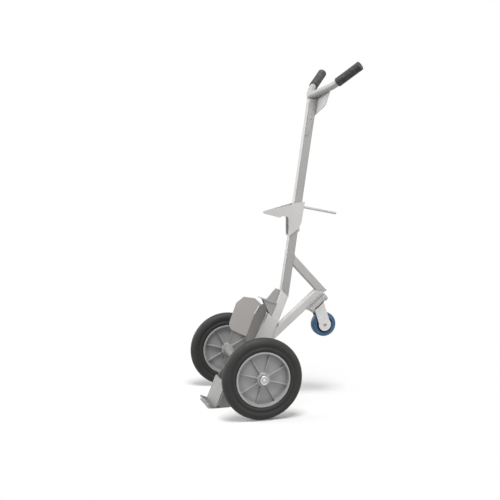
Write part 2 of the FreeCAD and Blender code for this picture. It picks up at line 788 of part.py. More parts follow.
def make_hook():
    """A folded slider round the mast whose two cheeks close into a beak in front."""
    body = new_body("hook_shell")
    outer = "slider_inner + slider_wall"
    back = new_sketch(body, "YZ_Plane")
    rectangle(back, "slider_inner", outer, "-slider_heel", "slider_top_rear - slider_top_inset")
    pad(body, back, f"2 * ({outer})", side="Symmetric")
    tongue = new_sketch(body, "YZ_Plane")
    rectangle(tongue, "slider_inner", outer, "-slider_waist", "slider_heel")
    pad(body, tongue, "tongue_width", side="Symmetric")
    for side in (1, -1):
        cheek = new_sketch(body, "YZ_Plane", f"{side} * slider_inner")
        outline(cheek, [
            ("-slider_front", "slider_top_front"), ("-slider_front", "-beak_foot"),
            ("-slider_tail_front", "-slider_tail"), ("slider_waist_rear", "-slider_waist"),
            ("slider_rear - slider_heel_set", "-slider_heel"), ("slider_rear", "slider_top_rear"),
        ])
        pad(body, cheek, "slider_wall", back=side < 0)
        beak = body.newObject("Sketcher::SketchObject", "Beak")
        beak.AttachmentSupport = [(origin_feature(body, "YZ_Plane"), "")]
        beak.MapMode = "FlatFace"
        turn = FreeCAD.Rotation(FreeCAD.Vector(0, -side, 0), 1)
        beak.AttachmentOffset = FreeCAD.Placement(FreeCAD.Vector(), turn)
        bind(beak, "AttachmentOffset.Base.x", "-slider_front")
        bind(beak, "AttachmentOffset.Base.z", f"{side} * slider_inner")
        bind(beak, "AttachmentOffset.Rotation.Angle", "beak_fold")
        outline(beak, [
            ("slider_wall / 2", "slider_top_front"), ("-beak_reach", "beak_tip_top"),
            ("beak_tip_set - beak_reach", "beak_tip_low"), ("-beak_step_reach", "beak_step_low"),
            ("-beak_throat_reach", "beak_throat"), ("-beak_throat", "beak_throat"),
            ("0", "-beak_foot"), ("slider_wall / 2", "-beak_foot"),
        ])
        pad(body, beak, "slider_wall", back=side < 0)
    place(body, "slider_y", "slider_z", "mast_lean")

    rod = new_body("lift_rod")
    section = new_sketch(rod, "XZ_Plane")
    ring(section, "0", "0", "rod_diameter / 2")
    round_bar = pad(rod, section, "rod_length", back=True)

    def rod_end(edge):
        return edge.Closed and close(middle(edge).y, value("rod_length"))
    round_edges(rod, round_bar, "rod_round", rod_end)
    place(rod, "rod_y", "rod_z", "mast_lean + rod_droop")

    stop = new_body("stop_bolt")
    profile = new_sketch(stop, "XY_Plane")
    outline(profile, [
        ("0", "-stop_shank_length"), ("stop_shank / 2", "-stop_shank_length"),
        ("stop_shank / 2", "seat_gap"), ("stop_diameter / 2", "seat_gap"),
        ("stop_diameter / 2", "stop_head"), ("0", "stop_head"),
    ])
    spun(stop, profile, "V_Axis")
    place(stop, "stop_y", "stop_z", "mast_lean")


def round_piece(label, inner, outer, start, end, side=1):
    """A ring or disc round the wheel axis, between two distances from the middle plane."""
    body = new_body(label)
    section = new_sketch(body, "YZ_Plane", f"{side} * ({start})")
    ring(section, "0", "axle_height", outer)
    if inner:
        ring(section, "0", "axle_height", inner)
    pad(body, section, f"{end} - ({start})", back=side < 0)
    return body


def make_axle():
    shaft = new_body("axle_shaft")
    section = new_sketch(shaft, "YZ_Plane")
    ring(section, "0", "axle_height", "axle_diameter / 2")
    pad(shaft, section, "2 * (cap_start + cap_length - cap_wall - weld_gap)", side="Symmetric")
    bore = "axle_diameter / 2 + axle_hole_clearance"
    washer_start = "cap_start - washer_thickness"
    for hand, side in (("left", 1), ("right", -1)):
        round_piece(f"{hand}_axle_spacer", bore, f"{bore} + spacer_wall",
                    "cheek_outer + seat_gap", "spacer_end", side)
        round_piece(f"{hand}_axle_washer", bore, "washer_diameter / 2",
                    washer_start, "cap_start - seat_gap", side)
        cap = new_body(f"{hand}_axle_cap")
        profile = new_sketch(cap, "XZ_Plane")
        floor = "cap_length - cap_wall"
        outline(profile, [
            ("0", bore), ("0", "cap_diameter / 2"), ("cap_length - cap_wall", "cap_diameter / 2"),
            ("cap_length", "cap_diameter / 2 - cap_wall"), ("cap_length", "0"), (floor, "0"),
            (floor, bore),
        ])
        spun(cap, profile, "H_Axis")
        cap.Placement = FreeCAD.Placement(FreeCAD.Vector(), turned_side(side))
        bind(cap, "Placement.Base.x", f"{side} * cap_start")
        bind(cap, "Placement.Base.z", "axle_height")


def turned_side(side):
    """No turn on the left; half a turn about the upright on the right."""
    return FreeCAD.Rotation(Z_WAY, 0 if side > 0 else 180)


def make_wheels():
    bore = "bush_radius + bush_wall"
    seat = "hub_diameter / 2"
    rim = "hub_diameter / 2 - rim_ring"
    for hand, side in (("left", 1), ("right", -1)):
        hub = new_body(f"{hand}_hub")
        profile = new_sketch(hub, "XZ_Plane")
        half = [
            ("boss_half", f"{bore} + press_gap"), ("boss_half", "boss_diameter / 2"),
            ("hub_web / 2", "boss_diameter / 2"), ("hub_web / 2", f"{rim} - rim_draft"),
            ("hub_half", rim), ("hub_half", seat),
        ]
        outline(profile, half + [(f"-{x}", r) for x, r in reversed(half)])
        spun(hub, profile, "H_Axis")
        spoke = new_sketch(hub, "XZ_Plane")
        reach = "hub_half - rib_setback"
        rectangle(spoke, f"-({reach})", reach, "boss_diameter / 2 - rib_lap", f"{rim} + rib_lap")
        rib = pad(hub, spoke, "rib_thickness", side="Symmetric")
        pattern = hub.newObject("PartDesign::PolarPattern", "Ribs")
        pattern.Originals = [rib]
        pattern.Axis = (origin_feature(hub, "X_Axis"), [""])
        pattern.Angle = 360
        bind(pattern, "Occurrences", "rib_count")
        hub.Tip = pattern
        hub.Placement = FreeCAD.Placement(FreeCAD.Vector(), FreeCAD.Rotation(-X_WAY, 1))
        bind(hub, "Placement.Rotation.Angle", "hub_turn")

        tyre = new_body(f"{hand}_tyre")
        profile = new_sketch(tyre, "XZ_Plane")
        wall = f"{seat} + bead_height"
        half = [
            ("bead_width / 2", f"{seat} + press_gap"), ("bead_width / 2", wall),
            ("wheel_width / 2", f"{wall} + bead_round"), ("wheel_width / 2", "wheel_diameter / 2"),
        ]
        outline(profile, half + [(f"-{x}", r) for x, r in reversed(half)])
        turned = spun(tyre, profile, "H_Axis")

        def shoulder(edge):
            return edge.Closed and edge.Curve.TypeId == "Part::GeomCircle" \
                and close(edge.Curve.Radius, value("wheel_diameter") / 2)
        round_edges(tyre, turned, "tyre_shoulder", shoulder)

        bush = new_body(f"{hand}_bush")
        section = new_sketch(bush, "YZ_Plane")
        ring(section, "0", "0", bore)
        ring(section, "0", "0", "bush_radius")
        pad(bush, section, "boss_length", side="Symmetric")
        for body in (hub, tyre, bush):
            bind(body, "Placement.Base.x", f"{side} * wheel_side")
            bind(body, "Placement.Base.z", "axle_height")


def on_castor(body):
    place(body, "castor_y", "castor_z", "castor_tilt", back=False)


def on_castor_wheel(body):
    place(body, "castor_wheel_y", "castor_wheel_z", "castor_tilt", back=False)


def plate_spots():
    for along in (1, -1):
        for across in (1, -1):
            yield f"{across} * castor_hole_width / 2", f"{along} * castor_hole_length / 2"


def castor_slab(label, top, thickness):
    body = new_body(label)
    section = new_sketch(body, "XY_Plane", f"-({top}) - ({thickness})")
    rectangle(section, "-castor_plate_width / 2", "castor_plate_width / 2",
              "-castor_plate_length / 2", "castor_plate_length / 2")
    slab = pad(body, section, thickness)
    round_edges(body, slab, "castor_plate_round", lambda edge: straight_along(edge, Z_WAY))
    return body


def drill_plate(body):
    holes = new_sketch(body, "XY_Plane")
    for across, along in plate_spots():
        ring(holes, across, along, "castor_hole / 2")
    cut_through(body, holes)


def hexagon(sketch, across, along, width):
    """Six corners for a head or nut whose flats lie the given width apart."""
    corners = []
    for step in range(6):
        reach = f"{width} / 2 / cos(30) * "
        corners.append((f"{across} + {reach} cos({step * 60})", f"{along} + {reach} sin({step * 60})"))
    outline(sketch, corners)


def make_castor_mount():
    slab = castor_slab("castor_pad", "weld_gap", "pad_thickness - weld_gap")
    drill_plate(slab)
    sunk = new_sketch(slab, "XY_Plane")
    for across, along in plate_spots():
        ring(sunk, across, along, "castor_bolt_head / 2 + seat_gap")
    recess = slab.newObject("PartDesign::Pocket", "BoltSeats")
    recess.Profile = sunk
    bind(recess, "Length", "weld_gap + castor_bolt_head_height + seat_gap")
    on_castor(slab)
    top = castor_slab("castor_plate", "pad_thickness + seat_gap", "plate_thickness - seat_gap")
    dome = new_sketch(top, "XY_Plane", "-race_top")
    ring(dome, "0", "0", "dome_diameter / 2")
    pad(top, dome, "dome_height + plate_thickness / 2")
    drill_plate(top)
    bore = new_sketch(top, "XY_Plane")
    ring(bore, "0", "0", "kingpin_diameter / 2 + press_gap")
    cut_through(top, bore)
    on_castor(top)
    under = "pad_thickness + plate_thickness"
    for number, (across, along) in enumerate(plate_spots(), 1):
        bolt = new_body(f"castor_bolt_{number}")
        head = new_sketch(bolt, "XY_Plane", "-weld_gap - castor_bolt_head_height")
        ring(head, across, along, "castor_bolt_head / 2")
        pad(bolt, head, "castor_bolt_head_height")
        shank = new_sketch(bolt, "XY_Plane", f"-({under}) - castor_nut_height - castor_bolt_end")
        ring(shank, across, along, "castor_bolt / 2")
        pad(bolt, shank, f"{under} + castor_nut_height + castor_bolt_end - castor_bolt_head_height")
        on_castor(bolt)
        nut = new_body(f"castor_nut_{number}")
        body_sketch = new_sketch(nut, "XY_Plane", f"-({under}) - castor_nut_height")
        hexagon(body_sketch, across, along, "castor_nut")
        ring(body_sketch, across, along, "castor_bolt / 2 + press_gap")
        pad(nut, body_sketch, "castor_nut_height - seat_gap")
        on_castor(nut)
    race = new_body("castor_race")
    section = new_sketch(race, "XY_Plane", "-race_top - race_height")
    ring(section, "0", "0", "race_diameter / 2")
    ring(section, "0", "0", "race_diameter / 2 - race_width")
    pad(race, section, "race_height - seat_gap")
    on_castor(race)
    pin = new_body("castor_kingpin")
    profile = new_sketch(pin, "XZ_Plane")
    crown_low = "-crown_top - fork_wall - weld_gap"
    outline(profile, [
        ("0", "-pad_thickness - weld_gap"), ("kingpin_diameter / 2", "-pad_thickness - weld_gap"),
        ("kingpin_diameter / 2", crown_low), ("kingpin_head / 2", crown_low),
        ("kingpin_head / 2", f"{crown_low} - kingpin_head_height"),
        ("0", f"{crown_low} - kingpin_head_height"),
    ])
    spun(pin, profile, "V_Axis")
    on_castor(pin)


def make_castor_fork():
    body = new_body("castor_fork")
    crown = new_sketch(body, "XY_Plane", "-crown_top - fork_wall")
    ring(crown, "0", "0", "fork_crown / 2")
    pad(body, crown, "fork_wall")
    for side in (1, -1):
        cheek = new_sketch(body, "YZ_Plane", f"{side} * fork_gap / 2")
        end = "fork_end_diameter / 2"
        outline(cheek, [
            ("-fork_shoulder_front", "-crown_top"), ("fork_shoulder_rear", "-crown_top"),
            (f"{end} - castor_trail", "-castor_drop"), (f"-{end} - castor_trail", "-castor_drop"),
        ])
        pad(body, cheek, "fork_wall", back=side < 0)
        toe = new_sketch(body, "YZ_Plane", f"{side} * fork_gap / 2")
        ring(toe, "-castor_trail", "-castor_drop", end)
        pad(body, toe, "fork_wall", back=side < 0)
    bore = new_sketch(body, "XY_Plane")
    ring(bore, "0", "0", "kingpin_diameter / 2 + running_clearance")
    cut_through(body, bore)
    bore = new_sketch(body, "YZ_Plane")
    ring(bore, "-castor_trail", "-castor_drop", "castor_axle / 2 + press_gap")
    cut_through(body, bore)
    on_castor(body)


def castor_turned(label, half):
    """A turned piece of the castor's wheel, from its profile on the +X side."""
    body = new_body(label)
    profile = new_sketch(body, "XZ_Plane")
    outline(profile, half + [(f"-({x})", r) for x, r in reversed(half)])
    turned = spun(body, profile, "H_Axis")
    on_castor_wheel(body)
    return body, turned


def make_castor_wheel():
    face = "fork_half + seat_gap"
    castor_turned("castor_axle", [
        (f"{face} + castor_axle_head_height", "0"),
        (f"{face} + castor_axle_head_height", "castor_axle_head / 2"),
        (face, "castor_axle_head / 2"), (face, "castor_axle / 2"),
    ])
    sleeve = "castor_axle / 2 + castor_bush_wall"
    castor_turned("castor_bush", [
        ("fork_gap / 2 - weld_gap", "castor_axle / 2 + press_gap"),
        ("fork_gap / 2 - weld_gap", sleeve),
    ])
    rim = "castor_hub_diameter / 2"
    castor_turned("castor_hub", [
        ("castor_width / 2", f"{sleeve} + running_clearance"),
        ("castor_width / 2", "castor_boss_diameter / 2"),
        ("castor_web / 2", "castor_boss_diameter / 2"), ("castor_web / 2", f"{rim} - castor_rim"),
        ("castor_width / 2 - castor_rim_set", f"{rim} - castor_rim"),
        ("castor_width / 2 - castor_rim_set", rim),
    ])
    tyre, turned = castor_turned("castor_tyre", [
        ("castor_width / 2", f"{rim} + press_gap"), ("castor_width / 2", "castor_diameter / 2"),
    ])

    def shoulder(edge):
        return edge.Closed and edge.Curve.TypeId == "Part::GeomCircle" \
            and close(edge.Curve.Radius, value("castor_diameter") / 2)
    round_edges(tyre, turned, "castor_crown", shoulder)


fill_sheets()
make_mast()
make_leg()
make_struts()
make_base_channel()
make_toe()
make_toe_cheeks()
make_cradle()
make_cradle_stays()
make_handlebar()
make_gussets()
make_hook()
make_axle()
make_wheels()
make_castor_mount()
make_castor_fork()
make_castor_wheel()
doc.recompute()

os.makedirs("parts", exist_ok=True)
for thing in doc.Objects:
    if "Invalid" in thing.State or "Error" in thing.State:
        raise RuntimeError(f"{thing.Name} of {thing.Label} is {thing.State}")
for piece in pieces:
    if piece.Shape.isNull() or not piece.Shape.isValid():
        raise RuntimeError(f"{piece.Label} has no valid shape")
    print(piece.Label, len(piece.Shape.Solids), round(piece.Shape.Volume, 1))
    piece.Shape.exportStep(f"parts/{piece.Label}.step")
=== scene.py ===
import bpy
import bmesh
import json
import math
from mathutils import Matrix, Vector
from mathutils.bvhtree import BVHTree


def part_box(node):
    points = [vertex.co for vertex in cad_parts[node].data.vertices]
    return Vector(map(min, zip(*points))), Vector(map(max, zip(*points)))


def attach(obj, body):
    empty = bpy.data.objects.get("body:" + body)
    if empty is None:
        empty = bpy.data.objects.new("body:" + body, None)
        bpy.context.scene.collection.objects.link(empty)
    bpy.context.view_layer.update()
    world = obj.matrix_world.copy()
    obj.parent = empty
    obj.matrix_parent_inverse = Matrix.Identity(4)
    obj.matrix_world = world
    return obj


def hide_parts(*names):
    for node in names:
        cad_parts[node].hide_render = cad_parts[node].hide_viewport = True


# Looks of the trolley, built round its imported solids.
# Metres; X across with +X the user's left, Y towards the user, Z up, origin on the floor between the wheels.
# Profiles, beads, gaps and edge rounds are written in millimetres, and MM turns them to metres.

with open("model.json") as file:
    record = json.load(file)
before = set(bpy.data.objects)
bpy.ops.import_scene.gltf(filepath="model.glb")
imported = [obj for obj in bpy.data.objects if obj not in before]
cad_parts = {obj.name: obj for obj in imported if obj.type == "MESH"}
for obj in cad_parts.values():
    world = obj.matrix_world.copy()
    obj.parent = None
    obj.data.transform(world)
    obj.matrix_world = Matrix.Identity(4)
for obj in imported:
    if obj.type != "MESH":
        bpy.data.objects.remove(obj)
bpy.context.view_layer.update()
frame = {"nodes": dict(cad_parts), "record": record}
nodes = frame["nodes"]
record = frame["record"]
scene = bpy.context.scene
scene.view_settings.view_transform = "Standard"

MM = 0.001
HANDS = {"left": 1, "right": -1}
AXLE_HEIGHT = 0.125

# How far each run leans back from upright as it rises
MAST_LEAN = math.radians(8.4)
LEG_LEAN = math.radians(22.5)
CRADLE_LEAN = math.radians(20.4)
BASE_LEAN = math.radians(33)
UPPER_LEAN = math.radians(-43)
LOWER_LEAN = math.radians(49.5)
MAST_UP = Vector((0, math.sin(MAST_LEAN), math.cos(MAST_LEAN)))
MAST_BACK = Vector((0, math.cos(MAST_LEAN), -math.sin(MAST_LEAN)))

BODY_OF = {node: body for body, members in record["behaviour"]["bodies"].items() for node in members}
JOINTS = {row["name"]: row for row in record["behaviour"]["joints"]}


def pair(kind):
    """The names of a left and a right piece."""
    return [f"{hand}_{kind}" for hand in HANDS]


def mesh_from(work, name, smooth=False):
    """A mesh with what was worked; the work itself goes."""
    for face in work.faces:
        face.smooth = smooth
    mesh = bpy.data.meshes.new(name)
    work.to_mesh(mesh)
    work.free()
    return mesh


# Nodes that the world, the floor and the finishes share

# Nearly all of a noise texture lies between these two
NOISE_LOW, NOISE_HIGH = 0.3, 0.7


def grey(level, warm=0.0):
    return (level * (1 + warm), level, level * (1 - warm))


def reckoned(tree, operation, first, second):
    """What a Math node makes of two sockets."""
    maths = tree.nodes.new("ShaderNodeMath")
    maths.operation = operation
    tree.links.new(first, maths.inputs[0])
    tree.links.new(second, maths.inputs[1])
    return maths.outputs[0]


def added(tree, first, second):
    return reckoned(tree, "ADD", first, second)


def distance_out(tree, where):
    """How far a spot lies from the zero point of its coordinates."""
    length = tree.nodes.new("ShaderNodeVectorMath")
    length.operation = "LENGTH"
    tree.links.new(where, length.inputs[0])
    return length.outputs["Value"]


def between(tree, share, low, high, start=NOISE_LOW, end=NOISE_HIGH):
    """A number that goes from low to high as share goes from start to end."""
    ranged = tree.nodes.new("ShaderNodeMapRange")
    ranged.inputs["From Min"].default_value = start
    ranged.inputs["From Max"].default_value = end
    ranged.inputs["To Min"].default_value = low
    ranged.inputs["To Max"].default_value = high
    tree.links.new(share, ranged.inputs["Value"])
    return ranged.outputs["Result"]


def shades(tree, share, stops):
    """Colours by share; a stop holds a share and the colour there."""
    ramp = tree.nodes.new("ShaderNodeValToRGB")
    marks = ramp.color_ramp.elements
    for mark, (at, colour) in zip((marks[0], marks[1]), (stops[0], stops[-1])):
        mark.position = at
        mark.color = (*colour, 1)
    for at, colour in stops[1:-1]:
        marks.new(at).color = (*colour, 1)
    tree.links.new(share, ramp.inputs["Fac"])
    return ramp.outputs["Color"]


def shade_between(tree, share, dark, light, start=0.0, end=1.0):
    return shades(tree, share, [(start, dark), (end, light)])


# Camera, floor and light

EYE = Vector((2.7593, -0.7836, 0.8311))
GAZE = Vector((-0.95306, 0.27870, -0.11840))
LENS = 65.7
SENSOR_WIDTH = 36
FARTHEST_SEEN = 60
ROOM_TINT = (1, 0.99, 0.975, 1)
ROOM_STRENGTH = 0.3
FLOOR_REACH = 14
FLOOR_DROP = 0.0005
FLOOR_BOUNCE = 0.4
FLOOR_SEEN = 0.9
SHADOW_WHOLE_TO = 0.12
SHADOW_GONE_BY = 0.75
LAMP_AIM = Vector((0, 0.12, 0.45))
# A row holds a lamp's name, place, width and power.
LAMPS = [
    ("front_lamp", (-0.9, -4.3, 2.6), 3.6, 105),
    ("far_lamp", (-4.2, -1.5, 1.0), 2.4, 48),
    ("side_lamp", (4.0, 1.5, 1.3), 2.8, 30),
    ("top_lamp", (1.3, -0.2, 4.3), 2.0, 150),
]


def aimed(name, fitting, place, gaze):
    """Puts a camera or a lamp at its place, turned to look along gaze."""
    holder = bpy.data.objects.new(name, fitting)
    holder.location = place
    holder.rotation_euler = gaze.to_track_quat("-Z", "Y").to_euler()
    scene.collection.objects.link(holder)
    return holder


def set_camera():
    camera = bpy.data.cameras.new("camera")
    camera.sensor_width = SENSOR_WIDTH
    camera.lens = LENS
    camera.clip_end = FARTHEST_SEEN
    scene.camera = aimed("camera", camera, EYE, GAZE)


def set_lamp(name, place, width, power):
    lamp = bpy.data.lights.new(name, "AREA")
    lamp.shape = "DISK"
    lamp.size = width
    lamp.energy = power
    aimed(name, lamp, place, LAMP_AIM - Vector(place))


def seen_directly(tree):
    """1 for rays from the camera and for mirror and glass rays, 0 for the rest."""
    path = tree.nodes.new("ShaderNodeLightPath").outputs
    camera_or_mirror = reckoned(tree, "MAXIMUM", path["Is Camera Ray"], path["Is Glossy Ray"])
    return reckoned(tree, "MAXIMUM", camera_or_mirror, path["Is Transmission Ray"])


def picked(tree, share, first, second):
    """The first shader where share is 0, the second where it is 1."""
    pick = tree.nodes.new("ShaderNodeMixShader")
    for number, source in enumerate((share, first, second)):
        tree.links.new(source, pick.inputs[number])
    return pick.outputs[0]


def background(tree, colour, strength):
    light = tree.nodes.new("ShaderNodeBackground")
    light.inputs["Color"].default_value = colour
    light.inputs["Strength"].default_value = strength
    return light.outputs[0]


def set_world():
    """White where it is seen, a dimmer and slightly warm room where it only lights."""
    world = bpy.data.worlds.new("studio")
    world.use_nodes = True
    tree = world.node_tree
    tree.nodes.clear()
    backdrop = background(tree, (1, 1, 1, 1), 1.0)
    room = background(tree, ROOM_TINT, ROOM_STRENGTH)
    out = tree.nodes.new("ShaderNodeOutputWorld")
    tree.links.new(picked(tree, seen_directly(tree), room, backdrop), out.inputs[0])
    scene.world = world


def make_floor():
    """A pale floor that keeps the shadow near the part and fades into the white backdrop."""
    work = bmesh.new()
    bmesh.ops.create_grid(work, x_segments=1, y_segments=1, size=FLOOR_REACH)
    floor = bpy.data.objects.new("floor", mesh_from(work, "floor"))
    floor.location.z = -FLOOR_DROP
    scene.collection.objects.link(floor)
    pale = bpy.data.materials.new("pale_floor")
    pale.use_nodes = True
    tree = pale.node_tree
    tree.nodes.clear()
    seen = seen_directly(tree)
    paint = tree.nodes.new("ShaderNodeBsdfDiffuse")
    tree.links.new(shade_between(tree, seen, grey(FLOOR_BOUNCE), grey(FLOOR_SEEN)), paint.inputs["Color"])
    glow = tree.nodes.new("ShaderNodeEmission")
    out_from_middle = distance_out(tree, tree.nodes.new("ShaderNodeTexCoord").outputs["Object"])
    fade = between(tree, out_from_middle, 0.0, 1.0, SHADOW_WHOLE_TO, SHADOW_GONE_BY)
    fade.node.interpolation_type = "SMOOTHSTEP"
    glow_share = reckoned(tree, "MULTIPLY", fade, seen)
    out = tree.nodes.new("ShaderNodeOutputMaterial")
    tree.links.new(picked(tree, glow_share, paint.outputs[0], glow.outputs[0]), out.inputs[0])
    floor.data.materials.append(pale)


# Finishes

# Waves in a metre on X, Y and Z: scratches along a piece or across the trolley, and broader marks
GROUND_ALONG = (720, 720, 11)
GROUND_ACROSS = (11, 720, 720)
HANDLING_MARKS = (60, 60, 9)
ROLLING_MARKS = (26, 26, 10)
# Distances from the middle of the trolley between which a gusset goes from its tail, darkened by painted
# shade, to its bright wing
TAIL_END, WING_START = 0.018, 0.03
# Distances out from the axle in tenths of a metre, each with the hub's grey there; the greys are painted
# light and shade, pale on the boss and rim, dark in the corner under the rim
HUB_PAINTED_GREYS = [(0.2, 0.46), (0.27, 0.39), (0.58, 0.4), (0.69, 0.3), (0.765, 0.31), (0.82, 0.5)]
TENTHS = 10
RUBBER_SHEEN = 0.32


def new_finish(name, metallic):
    material = bpy.data.materials.new(name)
    material.use_nodes = True
    shader = material.node_tree.nodes["Principled BSDF"]
    shader.inputs["Metallic"].default_value = metallic
    return material, material.node_tree, shader


def dress(tree, shader, colour, roughness):
    tree.links.new(colour, shader.inputs["Base Color"])
    tree.links.new(roughness, shader.inputs["Roughness"])


def relief(tree, shader, height, depth, strength):
    bump = tree.nodes.new("ShaderNodeBump")
    bump.inputs["Strength"].default_value = strength
    bump.inputs["Distance"].default_value = depth * MM
    tree.links.new(height, bump.inputs["Height"])
    tree.links.new(bump.outputs["Normal"], shader.inputs["Normal"])


def spot_on_piece(tree, scale=(1, 1, 1), turn=(0, 0, 0), shift=(0, 0, 0)):
    """Object coordinates, turned to the piece's own run and then stretched."""
    place = tree.nodes.new("ShaderNodeTexCoord")
    turned = tree.nodes.new("ShaderNodeMapping")
    turned.vector_type = "POINT"
    turned.inputs["Location"].default_value = shift
    turned.inputs["Rotation"].default_value = turn
    stretched = tree.nodes.new("ShaderNodeVectorMath")
    stretched.operation = "MULTIPLY"
    stretched.inputs[1].default_value = scale
    tree.links.new(place.outputs["Object"], turned.inputs["Vector"])
    tree.links.new(turned.outputs[0], stretched.inputs[0])
    return stretched.outputs[0]


def noise(tree, where, scale, detail, roughness=0.55):
    grain = tree.nodes.new("ShaderNodeTexNoise")
    grain.inputs["Scale"].default_value = scale
    grain.inputs["Detail"].default_value = detail
    grain.inputs["Roughness"].default_value = roughness
    tree.links.new(where, grain.inputs["Vector"])
    return grain.outputs["Fac"]


def satin_steel(name, lean, level, metal=0.5, warm=0.018, run=GROUND_ALONG):
    """Ground stainless: long fine scratches along the piece, faint cloudy patches, a few handling marks."""
    material, tree, shader = new_finish(name, metal)
    turn = (-lean, 0, 0)
    scratches = noise(tree, spot_on_piece(tree, run, turn), scale=1.0, detail=2.0)
    clouds = noise(tree, spot_on_piece(tree, turn=turn), scale=14.0, detail=4.0)
    marks = noise(tree, spot_on_piece(tree, HANDLING_MARKS, turn), scale=1.0, detail=5.0, roughness=0.7)
    tone = added(tree, between(tree, scratches, -0.12, 0.12), between(tree, clouds, 0.25, 0.75))
    tone = added(tree, tone, between(tree, marks, -0.25, 0.0, end=0.42))
    colour = shade_between(tree, tone, grey(level * 0.93, warm + 0.004), grey(level * 1.06, warm))
    dress(tree, shader, colour, roughness=between(tree, scratches, 0.46, 0.54))
    relief(tree, shader, scratches, depth=0.03, strength=0.2)
    return material


def gusset_steel():
    """Satin steel with painted light and shade: darker on the tails, brighter out on the wings."""
    material = satin_steel("gusset_steel", MAST_LEAN, 0.53, warm=0.006)
    tree = material.node_tree
    shader = tree.nodes["Principled BSDF"]
    ground = shader.inputs["Base Color"].links[0].from_socket
    out_from_middle = distance_out(tree, spot_on_piece(tree, (1, 0, 0)))
    wing_share = between(tree, out_from_middle, 0.0, 1.0, TAIL_END, WING_START)
    # Painted shade: the tails take about two thirds of the wings' colour.
    tail_shade = tree.nodes.new("ShaderNodeVectorMath")
    tail_shade.operation = "MULTIPLY"
    tree.links.new(ground, tail_shade.inputs[0])
    tree.links.new(shade_between(tree, wing_share, grey(0.66), grey(1.0)), tail_shade.inputs[1])
    tree.links.new(tail_shade.outputs[0], shader.inputs["Base Color"])
    return material


def mill_plate(name, lean, level, warm=0.0):
    """Rolled plate, duller than the ground tube: broad cloudy rolling marks and fine pits. The level is given
    per piece; the low levels of the wings and toe plates are painted shade.
    """
    material, tree, shader = new_finish(name, metallic=0.45)
    rolled = spot_on_piece(tree, ROLLING_MARKS, (-lean, 0, 0))
    clouds = noise(tree, rolled, scale=1.0, detail=5.0, roughness=0.62)
    pits = noise(tree, spot_on_piece(tree), scale=420.0, detail=3.0)
    tone = added(tree, clouds, between(tree, pits, -0.06, 0.06))
    dark, light = grey(level * 0.9, warm + 0.014), grey(level * 1.08, warm + 0.01)
    colour = shade_between(tree, tone, dark, light, NOISE_LOW, NOISE_HIGH)
    dress(tree, shader, colour, roughness=between(tree, clouds, 0.42, 0.6))
    relief(tree, shader, pits, depth=0.04, strength=0.25)
    return material


def weld_metal():
    """Brushed weld beads: dull grey with a trace of straw and blue-grey heat colour."""
    material, tree, shader = new_finish("weld_metal", metallic=0.4)
    where = spot_on_piece(tree)
    heat = noise(tree, where, scale=55.0, detail=3.0)
    crust = noise(tree, where, scale=700.0, detail=2.0)
    blue_grey, straw, brushed = (0.26, 0.265, 0.275), (0.345, 0.335, 0.315), (0.42, 0.415, 0.405)
    colour = shades(tree, heat, [(0.3, blue_grey), (0.5, straw), (0.72, brushed)])
    dress(tree, shader, colour, roughness=between(tree, crust, 0.44, 0.56))
    relief(tree, shader, crust, depth=0.05, strength=0.3)
    return material


def zinc_plate(name, level):
    """Bright zinc on pressed steel: soft sheen with faint cloudy flakes."""
    material, tree, shader = new_finish(name, metallic=0.55)
    where = spot_on_piece(tree)
    flakes = noise(tree, where, scale=130.0, detail=2.0)
    clouds = noise(tree, where, scale=36.0, detail=3.0)
    dark, light = grey(level * 0.92, 0.01), grey(level * 1.05, 0.006)
    colour = shade_between(tree, clouds, dark, light, NOISE_LOW, NOISE_HIGH)
    dress(tree, shader, colour, roughness=between(tree, flakes, 0.3, 0.46))
    relief(tree, shader, flakes, depth=0.03, strength=0.2)
    return material


def bright_cap():
    """Polished caps: a faint haze and fine rub marks."""
    material, tree, shader = new_finish("bright_cap", metallic=1.0)
    where = spot_on_piece(tree)
    rub = noise(tree, where, scale=300.0, detail=2.0)
    haze = noise(tree, where, scale=60.0, detail=3.0)
    colour = shade_between(tree, haze, grey(0.5), grey(0.58), NOISE_LOW, NOISE_HIGH)
    dress(tree, shader, colour, roughness=between(tree, rub, 0.18, 0.27))
    return material


def moulded_rubber(name, dark, light, dullness=0.55):
    """Matt rubber with a fine moulded grain and a little dust in it."""
    material, tree, shader = new_finish(name, metallic=0.0)
    where = spot_on_piece(tree)
    fine = noise(tree, where, scale=900.0, detail=2.0)
    dust = noise(tree, where, scale=22.0, detail=5.0, roughness=0.6)
    tone = added(tree, dust, between(tree, fine, -0.06, 0.06))
    colour = shade_between(tree, tone, dark, light, start=0.35, end=0.72)
    dress(tree, shader, colour, roughness=between(tree, fine, dullness - 0.06, dullness + 0.12))
    relief(tree, shader, fine, depth=0.2, strength=0.45)
    shader.inputs["Specular IOR Level"].default_value = RUBBER_SHEEN
    return material


def pebbled_rubber():
    """Grip rubber moulded with low pebbles: their tops rubbed paler, the gaps between them dark."""
    material, tree, shader = new_finish("grip_rubber", metallic=0.0)
    where = spot_on_piece(tree)
    pebbles = tree.nodes.new("ShaderNodeTexVoronoi")
    pebbles.inputs["Scale"].default_value = 190.0
    tree.links.new(where, pebbles.inputs["Vector"])
    rubbed = noise(tree, where, scale=90.0, detail=4.0, roughness=0.6)
    tops = between(tree, pebbles.outputs["Distance"], 0.65, 0.0, start=0.1)
    tone = added(tree, tops, between(tree, rubbed, -0.3, 0.4))
    colour = shade_between(tree, tone, grey(0.032), grey(0.115, 0.01))
    dress(tree, shader, colour, roughness=between(tree, rubbed, 0.52, 0.7))
    relief(tree, shader, tops, depth=0.7, strength=0.6)
    shader.inputs["Specular IOR Level"].default_value = RUBBER_SHEEN
    return material


